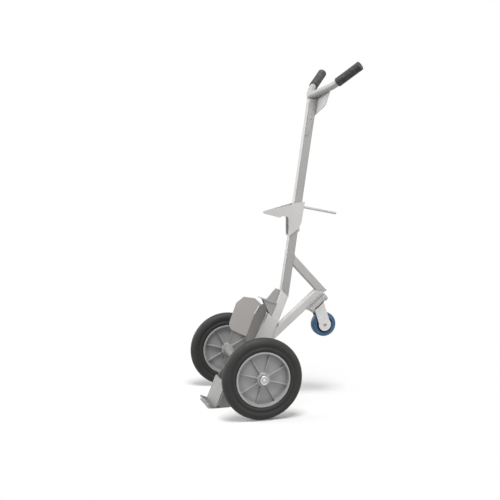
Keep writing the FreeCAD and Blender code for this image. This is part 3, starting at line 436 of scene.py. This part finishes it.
def hub_plastic():
    """Moulded grey hub with painted light and shade: pale on its boss and rim, dark in the corner under the
    rim.
    """
    material, tree, shader = new_finish("hub_plastic", metallic=0.0)
    where = spot_on_piece(tree)
    flow = noise(tree, where, scale=18.0, detail=4.0)
    skin = noise(tree, where, scale=1400.0, detail=2.0)
    from_axle = spot_on_piece(tree, (0, TENTHS, TENTHS), shift=(0, 0, -AXLE_HEIGHT))
    out = added(tree, distance_out(tree, from_axle), between(tree, flow, -0.02, 0.02))
    # Painted light and shade, set by the distance from the axle.
    colour = shades(tree, out, [(at, grey(level)) for at, level in HUB_PAINTED_GREYS])
    dress(tree, shader, colour, roughness=between(tree, skin, 0.42, 0.56))
    relief(tree, shader, skin, depth=0.12, strength=0.3)
    return material


set_camera()
set_world()
make_floor()
for lamp_row in LAMPS:
    set_lamp(*lamp_row)

finishes = {
    # Painted light and shade: one satin steel is set at different levels from piece to piece, darker on the
    # mast and the upper strut, lighter on the leg, base and lower strut, for the different light on each.
    "mast": satin_steel("mast_steel", MAST_LEAN, 0.345),
    "leg": satin_steel("leg_steel", LEG_LEAN, 0.6),
    "base": satin_steel("base_steel", BASE_LEAN, 0.57),
    "upper": satin_steel("upper_strut_steel", UPPER_LEAN, 0.42),
    "lower": satin_steel("lower_strut_steel", LOWER_LEAN, 0.53),
    "stay": mill_plate("stay_plate", CRADLE_LEAN, 0.36),
    # Painted shade: the toe plates and the wings are set far darker than the other plates, the wings with a
    # warm tint as part of it.
    "toe": mill_plate("toe_plate_steel", LEG_LEAN, 0.225),
    "wing": mill_plate("wing_plate", CRADLE_LEAN, 0.235, warm=0.03),
    "hook": satin_steel("hook_steel", MAST_LEAN, 0.52),
    "handle": satin_steel("handle_steel", MAST_LEAN, 0.42, metal=0.25, warm=0.008),
    "gusset": gusset_steel(),
    "turned": satin_steel("turned_steel", MAST_LEAN, 0.5, warm=0.006, run=GROUND_ACROSS),
    "weld": weld_metal(),
    "zinc": zinc_plate("zinc_plate", 0.65),
    "zinc_dull": zinc_plate("zinc_dull", 0.44),
    "cap": bright_cap(),
    "tyre": moulded_rubber("tyre_rubber", grey(0.027, 0.02), grey(0.037, 0.03)),
    "grip": pebbled_rubber(),
    "blue": moulded_rubber("blue_rubber", (0.058, 0.142, 0.264), (0.092, 0.187, 0.31), dullness=0.5),
    "hub": hub_plastic(),
    "black": moulded_rubber("castor_plastic", grey(0.02, -0.1), grey(0.03, -0.1), dullness=0.45),
    "nylon": moulded_rubber("bush_nylon", grey(0.7), grey(0.76), dullness=0.5),
}

CASTOR_FASTENERS = [f"castor_{kind}_{number}" for kind in ("nut", "bolt") for number in range(1, 5)]
WORN_BY = {
    "mast": ["mast_tube"],
    "leg": ["leg_tube"],
    "base": ["base_channel"],
    "upper": ["upper_strut"],
    "lower": ["lower_strut"],
    "stay": ["cradle_shelf", "cradle_rib"] + pair("cradle_web"),
    "toe": ["toe_plate", "toe_foot"] + pair("toe_cheek"),
    "wing": pair("cradle_wing"),
    "hook": ["hook_shell"],
    "handle": ["handlebar"],
    "gusset": pair("gusset"),
    "turned": ["lift_rod", "axle_shaft"] + pair("axle_spacer"),
    "zinc": ["castor_fork", "stop_bolt"] + pair("axle_washer"),
    "zinc_dull": ["castor_pad", "castor_plate", "castor_race", "castor_kingpin", "castor_axle"]
                 + CASTOR_FASTENERS,
    "cap": pair("axle_cap"),
    "tyre": pair("tyre"),
    "grip": pair("grip"),
    "blue": ["castor_tyre"],
    "hub": pair("hub"),
    "black": ["castor_hub"],
    "nylon": pair("bush") + ["castor_bush"],
}
FINISH_OF = {wearer: finish for finish, wearers in WORN_BY.items() for wearer in wearers}
for wearer, finish in FINISH_OF.items():
    nodes[wearer].data.materials.clear()
    nodes[wearer].data.materials.append(finishes[finish])


# Meshes from solids, profiles and node trees

# Corners of a solid or of a turned mesh that are nearer than this are one
SAME_CORNER = 1e-6
SAME_TURNED = 1e-7
# Bends under the first angle count as flat, edges over the others are broken or stay sharp
FLAT_ANGLE = math.radians(0.3)
BROKEN_ANGLE = math.radians(32)
TURNED_SHARP = math.radians(38)
BROKEN_STEPS = 2
NORMAL_WEIGHT = 90


def keep(mesh, name, body, finish, stands_for=None):
    """Puts a finished mesh in the scene as a piece of one body."""
    piece = bpy.data.objects.new(name, mesh)
    scene.collection.objects.link(piece)
    mesh.materials.clear()
    mesh.materials.append(finishes[finish])
    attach(piece, body)
    if stands_for:
        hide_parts(stands_for)


def stand_in(mesh, node):
    """Keeps a mesh in a node's place, with the node's body and finish."""
    keep(mesh, f"{node}_skin", BODY_OF[node], FINISH_OF[node], node)


def evaluated(holder, name):
    """The mesh that an object's modifiers give; the object itself goes."""
    bpy.context.view_layer.update()
    mesh = bpy.data.meshes.new_from_object(holder.evaluated_get(bpy.context.evaluated_depsgraph_get()))
    mesh.name = name
    source = holder.data
    bpy.data.objects.remove(holder)
    bpy.data.meshes.remove(source)
    return mesh


def skin_of(node):
    """The node's solid as one merged skin, with the triangles of each flat face joined up."""
    work = bmesh.new()
    work.from_mesh(nodes[node].data)
    bmesh.ops.remove_doubles(work, verts=work.verts, dist=SAME_CORNER)
    bmesh.ops.dissolve_limit(work, angle_limit=FLAT_ANGLE, verts=work.verts, edges=work.edges)
    return work


def softened(node, width):
    """Stands for a node with the same shape, its sharp edges broken by a small round."""
    holder = bpy.data.objects.new(node, mesh_from(skin_of(node), node, smooth=True))
    scene.collection.objects.link(holder)
    broken = holder.modifiers.new("edges", "BEVEL")
    broken.width = width * MM
    broken.segments = BROKEN_STEPS
    broken.limit_method = "ANGLE"
    broken.angle_limit = BROKEN_ANGLE
    even = holder.modifiers.new("normals", "WEIGHTED_NORMAL")
    even.weight = NORMAL_WEIGHT
    stand_in(evaluated(holder, f"{node}_skin"), node)


def arc(across, out, radius, start, end, steps):
    """Points on a circle of a profile; angles in degrees from the axis towards the rim."""
    angles = [math.radians(start + (end - start) * step / steps) for step in range(steps + 1)]
    return [(across + radius * math.cos(angle), out + radius * math.sin(angle)) for angle in angles]


def both_sides(half):
    """A profile and its mirror image, as one loop."""
    return half + [(-across, out) for across, out in reversed(half)]


def close_between(work, first, second):
    """A band of faces between two loops of corners."""
    for this in range(len(first)):
        after = (this + 1) % len(first)
        work.faces.new((first[this], first[after], second[after], second[this]))


def turned_mesh(name, profile, centre, axis, steps):
    """A closed profile of (along, out) points, turned round an axis."""
    way = Vector(axis).normalized()
    side = way.orthogonal().normalized()
    spokes = [Matrix.Rotation(math.tau * step / steps, 3, way) @ side for step in range(steps)]
    work = bmesh.new()
    rings = []
    for along, out in profile:
        middle = Vector(centre) + way * along * MM
        rings.append([work.verts.new(middle + spoke * out * MM) for spoke in spokes])
    for ring, following in zip(rings, rings[1:] + rings[:1]):
        close_between(work, ring, following)
    bmesh.ops.remove_doubles(work, verts=work.verts, dist=SAME_TURNED)
    bmesh.ops.delete(work, geom=[edge for edge in work.edges if not edge.link_faces], context="EDGES")
    bmesh.ops.recalc_face_normals(work, faces=work.faces)
    mesh = mesh_from(work, name, smooth=True)
    mesh.set_sharp_from_angle(angle=TURNED_SHARP)
    return mesh


def turned_stand_in(node, profile, centre, axis, steps):
    stand_in(turned_mesh(f"{node}_skin", profile, centre, axis, steps), node)


def middle_of(node):
    low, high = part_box(node)
    return (Vector(low) + Vector(high)) / 2


def size_of(node):
    """A node's width, depth and height in millimetres."""
    low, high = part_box(node)
    return (Vector(high) - Vector(low)) / MM


# Plates, tubes and pressings with their edges broken; the number is the width of the round

BROKEN_EDGES = {
    0.4: ["mast_tube", "leg_tube", "upper_strut", "lower_strut", "handlebar", "lift_rod"]
         + pair("axle_washer") + pair("axle_spacer"),
    0.6: ["hook_shell"] + pair("gusset") + ["cradle_shelf", "cradle_rib"] + pair("cradle_web")
         + ["castor_plate", "stop_bolt", "castor_kingpin", "castor_race", "axle_shaft"] + CASTOR_FASTENERS,
    0.8: ["base_channel", "toe_plate"] + pair("toe_cheek") + ["toe_foot"] + pair("cradle_wing")
         + ["castor_pad", "castor_fork"],
    1.0: pair("hub"),
}


def make_plates():
    for width, members in BROKEN_EDGES.items():
        for node in members:
            softened(node, width)


# Weld beads

# A row holds the piece whose edge is welded, what it is welded to, the bead's radius and the gap it bridges.
FRAME_SEAMS = [
    ("upper_strut", "mast_tube", 1.9, 0.5), ("lower_strut", "leg_tube", 1.9, 0.5),
    ("leg_tube", "mast_tube", 1.0, 0.3), ("upper_strut", "lower_strut", 1.5, 0.3),
    ("base_channel", "leg_tube", 1.7, 0.6), ("cradle_shelf", "leg_tube", 1.5, 0.6),
    ("cradle_rib", "leg_tube", 1.4, 0.6), ("cradle_rib", "cradle_shelf", 1.4, 0.6),
    ("handlebar", "mast_tube", 1.5, 0.6), ("mast_tube", "handlebar", 1.6, 3.5),
    ("toe_foot", "left_toe_cheek", 1.4, 0.6), ("toe_foot", "right_toe_cheek", 1.4, 0.6),
    ("base_channel", "axle_shaft", 1.3, 0.4),
]
for hand in HANDS:
    FRAME_SEAMS += [
        (f"{hand}_cradle_web", "cradle_shelf", 1.4, 0.6), (f"{hand}_cradle_web", "leg_tube", 1.4, 0.6),
        (f"{hand}_cradle_web", "base_channel", 1.4, 1.0), (f"{hand}_cradle_wing", "base_channel", 1.6, 1.6),
        (f"{hand}_gusset", "mast_tube", 1.2, 0.6),
        (f"{hand}_toe_cheek", "toe_plate", 1.5, 2.2), (f"{hand}_toe_cheek", "axle_shaft", 1.3, 0.4),
    ]
HOOK_SEAMS = [("lift_rod", "hook_shell", 1.6, 0.6)]
# Only edges sharper than this are welded, and ends of edges that are nearer than this are one
SEAM_ANGLE = math.radians(25)
SAME_PATH = 2e-5

# Under the handlebar's arms only a gusset's long top edge is welded
ARM_BEAD, ARM_GAP, ARM_SHORTEST = 2.4, 6, 20

# The castor's pad under the lower strut
PAD_BEAD, PAD_LENGTH, PAD_LIFT = 1.9, 73, 0.4
PAD_HALF_WIDTH = 11.6

# The slot in the left gusset's tail: the foot of its middle line and the line's run up the mast
SLOT_BEAD, SLOT_RUN = 2.6, 14.5
SLOT_FOOT = (14.2, 218.1, 900.1)

# The fillet on the mast's top: (back, up) points from the middle of the top
MAST_TOP = Vector((0, 228.5, 963.5))
SADDLE_OUTLINE = [(-6.0, -1.0), (12.2, -1.0), (12.9, 1.0), (12.7, 4.6), (11.2, 7.8), (8.0, 10.6), (4.5, 12.4),
                  (-6.0, 12.4)]
SADDLE_HALF_WIDTH = 12.4
SADDLE_ROUND, SADDLE_ROUND_STEPS = 0.8, 2

# What the bead's node tree takes, in metres, and the bead's section and swell
BEAD_INPUTS = [
    ("Bead Radius", "NodeSocketFloat", 0.0018),
    ("Ripple Step", "NodeSocketFloat", 0.0011),
    ("Ripple Depth", "NodeSocketFloat", 0.2),
    ("Seed", "NodeSocketInt", 3),
]
BEAD_SIDES = 7
BEAD_NARROWEST = 0.85
BEAD_CHANCE = (0.9, 1.08)


def near(skin, point, reach):
    return skin.find_nearest(point, reach)[0] is not None


def seam_edges(node, onto, gap, shortest=0):
    """The ends of those sharp edges of a node that lie on another node's skin."""
    work = skin_of(node)
    other = skin_of(onto)
    skin = BVHTree.FromBMesh(other)
    ends = []
    for edge in work.edges:
        first, last = (corner.co.copy() for corner in edge.verts)
        sharp = edge.calc_face_angle(0) > SEAM_ANGLE and edge.calc_length() > shortest * MM
        if sharp and near(skin, first, gap * MM) and near(skin, last, gap * MM):
            ends.append((first, last))
    work.free()
    other.free()
    return ends


def bead_tree():
    """Lays a rippled bead along every edge it is given."""
    tree = bpy.data.node_groups.new("weld_bead", "GeometryNodeTree")
    face = tree.interface
    face.new_socket("Geometry", in_out="INPUT", socket_type="NodeSocketGeometry")
    for label, kind, setting in BEAD_INPUTS:
        face.new_socket(label, in_out="INPUT", socket_type=kind).default_value = setting
    face.new_socket("Finish", in_out="INPUT", socket_type="NodeSocketMaterial")
    face.new_socket("Geometry", in_out="OUTPUT", socket_type="NodeSocketGeometry")
    given = tree.nodes.new("NodeGroupInput").outputs
    path = tree.nodes.new("GeometryNodeMeshToCurve")
    spaced = tree.nodes.new("GeometryNodeResampleCurve")
    spaced.mode = "LENGTH"
    section = tree.nodes.new("GeometryNodeCurvePrimitiveCircle")
    section.inputs["Resolution"].default_value = BEAD_SIDES
    place_in_row = tree.nodes.new("GeometryNodeInputIndex")
    every_other = tree.nodes.new("ShaderNodeMath")
    every_other.operation = "MODULO"
    every_other.inputs[1].default_value = 2
    swell = tree.nodes.new("ShaderNodeMath")
    swell.operation = "MULTIPLY_ADD"
    swell.inputs[2].default_value = BEAD_NARROWEST
    chance = tree.nodes.new("FunctionNodeRandomValue")
    chance.data_type = "FLOAT"
    chance.inputs[2].default_value, chance.inputs[3].default_value = BEAD_CHANCE
    bead = tree.nodes.new("GeometryNodeCurveToMesh")
    bead.inputs["Fill Caps"].default_value = True
    smooth = tree.nodes.new("GeometryNodeSetShadeSmooth")
    plain = tree.nodes.new("GeometryNodeRealizeInstances")
    coat = tree.nodes.new("GeometryNodeSetMaterial")
    result = tree.nodes.new("NodeGroupOutput")
    tree.links.new(given["Geometry"], path.inputs["Mesh"])
    tree.links.new(path.outputs["Curve"], spaced.inputs["Curve"])
    tree.links.new(given["Ripple Step"], spaced.inputs["Length"])
    tree.links.new(given["Bead Radius"], section.inputs["Radius"])
    tree.links.new(place_in_row.outputs[0], every_other.inputs[0])
    tree.links.new(every_other.outputs[0], swell.inputs[0])
    tree.links.new(given["Ripple Depth"], swell.inputs[1])
    tree.links.new(given["Seed"], chance.inputs["Seed"])
    tree.links.new(spaced.outputs["Curve"], bead.inputs["Curve"])
    tree.links.new(section.outputs["Curve"], bead.inputs["Profile Curve"])
    tree.links.new(reckoned(tree, "MULTIPLY", swell.outputs[0], chance.outputs[1]), bead.inputs["Scale"])
    tree.links.new(bead.outputs["Mesh"], smooth.inputs["Geometry"])
    tree.links.new(smooth.outputs[0], plain.inputs[0])
    tree.links.new(plain.outputs[0], coat.inputs["Geometry"])
    tree.links.new(given["Finish"], coat.inputs["Material"])
    tree.links.new(coat.outputs[0], result.inputs[0])
    return tree


def set_input(modifier, label, setting):
    """Sets a node tree's input by its socket's identifier."""
    for socket in modifier.node_group.interface.items_tree:
        if socket.item_type == "SOCKET" and socket.in_out == "INPUT" and socket.name == label:
            modifier[socket.identifier] = setting


def laid_beads(tree, name, edges, radius):
    """Beads of one radius along the given edges, as a plain mesh."""
    work = bmesh.new()
    for first, last in edges:
        work.edges.new((work.verts.new(first), work.verts.new(last)))
    bmesh.ops.remove_doubles(work, verts=work.verts, dist=SAME_PATH)
    holder = bpy.data.objects.new(name, mesh_from(work, name))
    scene.collection.objects.link(holder)
    modifier = holder.modifiers.new("bead", "NODES")
    modifier.node_group = tree
    set_input(modifier, "Bead Radius", radius * MM)
    set_input(modifier, "Finish", finishes["weld"])
    return evaluated(holder, name)


def seam_beads(tree, seams):
    return [laid_beads(tree, f"{node}_bead", seam_edges(node, onto, gap), radius)
            for node, onto, radius, gap in seams]


def joined(name, meshes):
    """One mesh out of several; the several go."""
    work = bmesh.new()
    for mesh in meshes:
        work.from_mesh(mesh)
        bpy.data.meshes.remove(mesh)
    whole = bpy.data.meshes.new(name)
    work.to_mesh(whole)
    work.free()
    return whole


def pad_edges():
    """The two lines where the castor's pad is welded along the lower strut."""
    swivel = JOINTS["castor_swivel"]
    up = Vector(swivel["axis"])
    along = up.cross(Vector((1, 0, 0))) * PAD_LENGTH * MM / 2
    foot = Vector(swivel["pos_m"]) + up * PAD_LIFT * MM
    middles = [foot + Vector((side * PAD_HALF_WIDTH * MM, 0, 0)) for side in HANDS.values()]
    return [(middle - along, middle + along) for middle in middles]


def slot_edges():
    """The plug welds that fill the slots in the gussets' tails."""
    out, back, rise = SLOT_FOOT
    feet = [Vector((side * out, back, rise)) * MM for side in HANDS.values()]
    return [(foot, foot + MAST_UP * SLOT_RUN * MM) for foot in feet]


def saddle_mesh():
    """The fillet that fills the wedge between the mast's top and the handlebar."""
    work = bmesh.new()
    ends = []
    for side in (-SADDLE_HALF_WIDTH, SADDLE_HALF_WIDTH):
        middle = MAST_TOP + Vector((side, 0, 0))
        corners = [middle + MAST_BACK * back + MAST_UP * up for back, up in SADDLE_OUTLINE]
        ends.append([work.verts.new(corner * MM) for corner in corners])
    close_between(work, *ends)
    for end in ends:
        work.faces.new(end)
    bmesh.ops.recalc_face_normals(work, faces=work.faces)
    bmesh.ops.bevel(work, geom=list(work.edges), offset=SADDLE_ROUND * MM, segments=SADDLE_ROUND_STEPS,
                    affect="EDGES")
    return mesh_from(work, "saddle_weld", smooth=True)


def make_welds():
    tree = bead_tree()
    frame_beads = seam_beads(tree, FRAME_SEAMS)
    for gusset in pair("gusset"):
        under_arm = seam_edges(gusset, "handlebar", ARM_GAP, ARM_SHORTEST)
        frame_beads.append(laid_beads(tree, f"{gusset}_bead", under_arm, ARM_BEAD))
    frame_beads.append(laid_beads(tree, "pad_bead", pad_edges(), PAD_BEAD))
    keep(joined("frame_welds", frame_beads), "frame_welds", "frame", "weld")
    keep(joined("hook_welds", seam_beads(tree, HOOK_SEAMS)), "hook_welds", "hook", "weld")
    keep(saddle_mesh(), "saddle_weld", "frame", "handle")
    slot_plugs = laid_beads(tree, "slot_welds", slot_edges(), SLOT_BEAD)
    keep(slot_plugs, "slot_welds", "frame", "zinc")


# Main wheels

TYRE_STEPS, CAP_STEPS = 144, 64
TYRE_SEAT = 84.05
# Half of the mould line on the crown: (out from the middle, in from the crown)
MOULD_HALF = 0.5
MOULD_LINE = [(0, 0), (MOULD_HALF, 0), (0.9, 0.5)]
# The wall from the shoulder to the seat: (in from the widest, out from the seat)
TYRE_WALL = [(0.4, 22.0), (1.2, 20.0), (2.3, 17.6), (3.0, 15.4), (3.1, 14.2), (2.7, 13.0), (1.1, 11.0),
             (0.6, 10.0), (0.6, 8.4), (1.2, 6.4), (2.4, 4.2), (3.8, 2.2), (5.4, 0.0)]
# A push-on axle cap: its foot, rolled rim, sunk ring, low dome in the middle and inside
CAP_PROFILE = [(0.1, 10.1), (0.1, 13.9)] + arc(4.4, 11.4, 2.5, 90, -30, 9) + [
    (3.9, 8.8), (2.9, 8.3), (2.9, 7.2), (4.1, 6.7), (5.6, 5.8), (6.6, 3.6), (6.9, 0.0),
    (5.9, 0.0), (2.4, 7.0), (2.4, 8.5), (3.4, 9.6)]


def tyre_profile(radius, half_width):
    """A full round solid tyre: a mould line on its crown, a shallow hollow in its wall and a rounded bead."""
    shoulder = half_width - MOULD_HALF
    crown = [(out, radius - sunk) for out, sunk in MOULD_LINE]
    bulge = arc(MOULD_HALF, radius - shoulder, shoulder, 86, 4, 26)
    wall = [(half_width - sunk, TYRE_SEAT + out) for sunk, out in TYRE_WALL]
    return both_sides(crown + bulge + wall)


def make_main_wheels():
    for hand, side in HANDS.items():
        tyre = f"{hand}_tyre"
        size = size_of(tyre)
        turned_stand_in(tyre, tyre_profile(size.z / 2, size.x / 2), middle_of(tyre), (1, 0, 0), TYRE_STEPS)
        cap = f"{hand}_axle_cap"
        root = middle_of(cap) - Vector((side * size_of(cap).x / 2 * MM, 0, 0))
        turned_stand_in(cap, CAP_PROFILE, root, (side, 0, 0), CAP_STEPS)


# Grips

GRIP_RUN = Vector((64.5, 61.5, 57.3)).normalized()
GRIP_HALF = 44.75
GRIP_BORE = 11.1
GRIP_STEPS = 72
# The closed end inside its rim: (in from the end, out from the middle)
GRIP_END = [(0.5, 11.2), (1.3, 10.5), (1.3, 3.4), (1.0, 2.6), (1.0, 0.0)]


def grip_profile():
    """A push-on grip: a rounded lip at its open end, a slight waist and a rim round its closed end."""
    lip = arc(-GRIP_HALF + 1.0, 13.5, 1.0, 180, 90, 4)
    waist = [(-GRIP_HALF + 20, 14.35), (0, 14.25), (GRIP_HALF - 20, 14.35)]
    rim = arc(GRIP_HALF - 2.2, 12.3, 2.2, 90, 10, 6)
    end = [(GRIP_HALF - sunk, out) for sunk, out in GRIP_END]
    inside = [(GRIP_HALF - 4, 0.0), (GRIP_HALF - 4, GRIP_BORE)]
    return [(-GRIP_HALF, GRIP_BORE)] + lip + waist + rim + end + inside


def make_grips():
    for hand, side in HANDS.items():
        grip = f"{hand}_grip"
        way = (side * GRIP_RUN.x, GRIP_RUN.y, GRIP_RUN.z)
        turned_stand_in(grip, grip_profile(), middle_of(grip), way, GRIP_STEPS)


# Castor wheel: half profiles from the middle of the wheel outwards, and the steps they are turned in

CASTOR_TURNED = {
    "castor_tyre": (96, [(0, 40.0), (4, 39.9), (8, 39.5)] + arc(9.5, 35.4, 4.0, 80, 0, 7)
                    + [(13.5, 33.6), (12.9, 33.0), (12.9, 30.2), (13.4, 29.6), (13.4, 27.05)]),
    "castor_hub": (72, [(13.5, 6.05), (13.5, 10.2), (12.7, 11.0), (7.2, 11.6), (6.0, 12.8), (6.0, 20.6),
                        (7.0, 21.8), (11.7, 22.4), (12.5, 23.2), (12.5, 26.4), (11.9, 27.0)]),
    "castor_axle": (48, [(0, 3.95), (18.05, 3.95), (18.05, 6.4), (18.6, 6.5), (19.5, 6.0), (19.95, 4.8),
                         (19.95, 2.5), (19.6, 2.2), (13.0, 2.2), (12.0, 0.0)]),
}


def make_castor_wheel():
    centre = JOINTS["castor_spin"]["pos_m"]
    for node, (steps, half) in CASTOR_TURNED.items():
        turned_stand_in(node, both_sides(half), centre, (1, 0, 0), steps)


make_plates()
make_welds()
make_main_wheels()
make_grips()
make_castor_wheel()
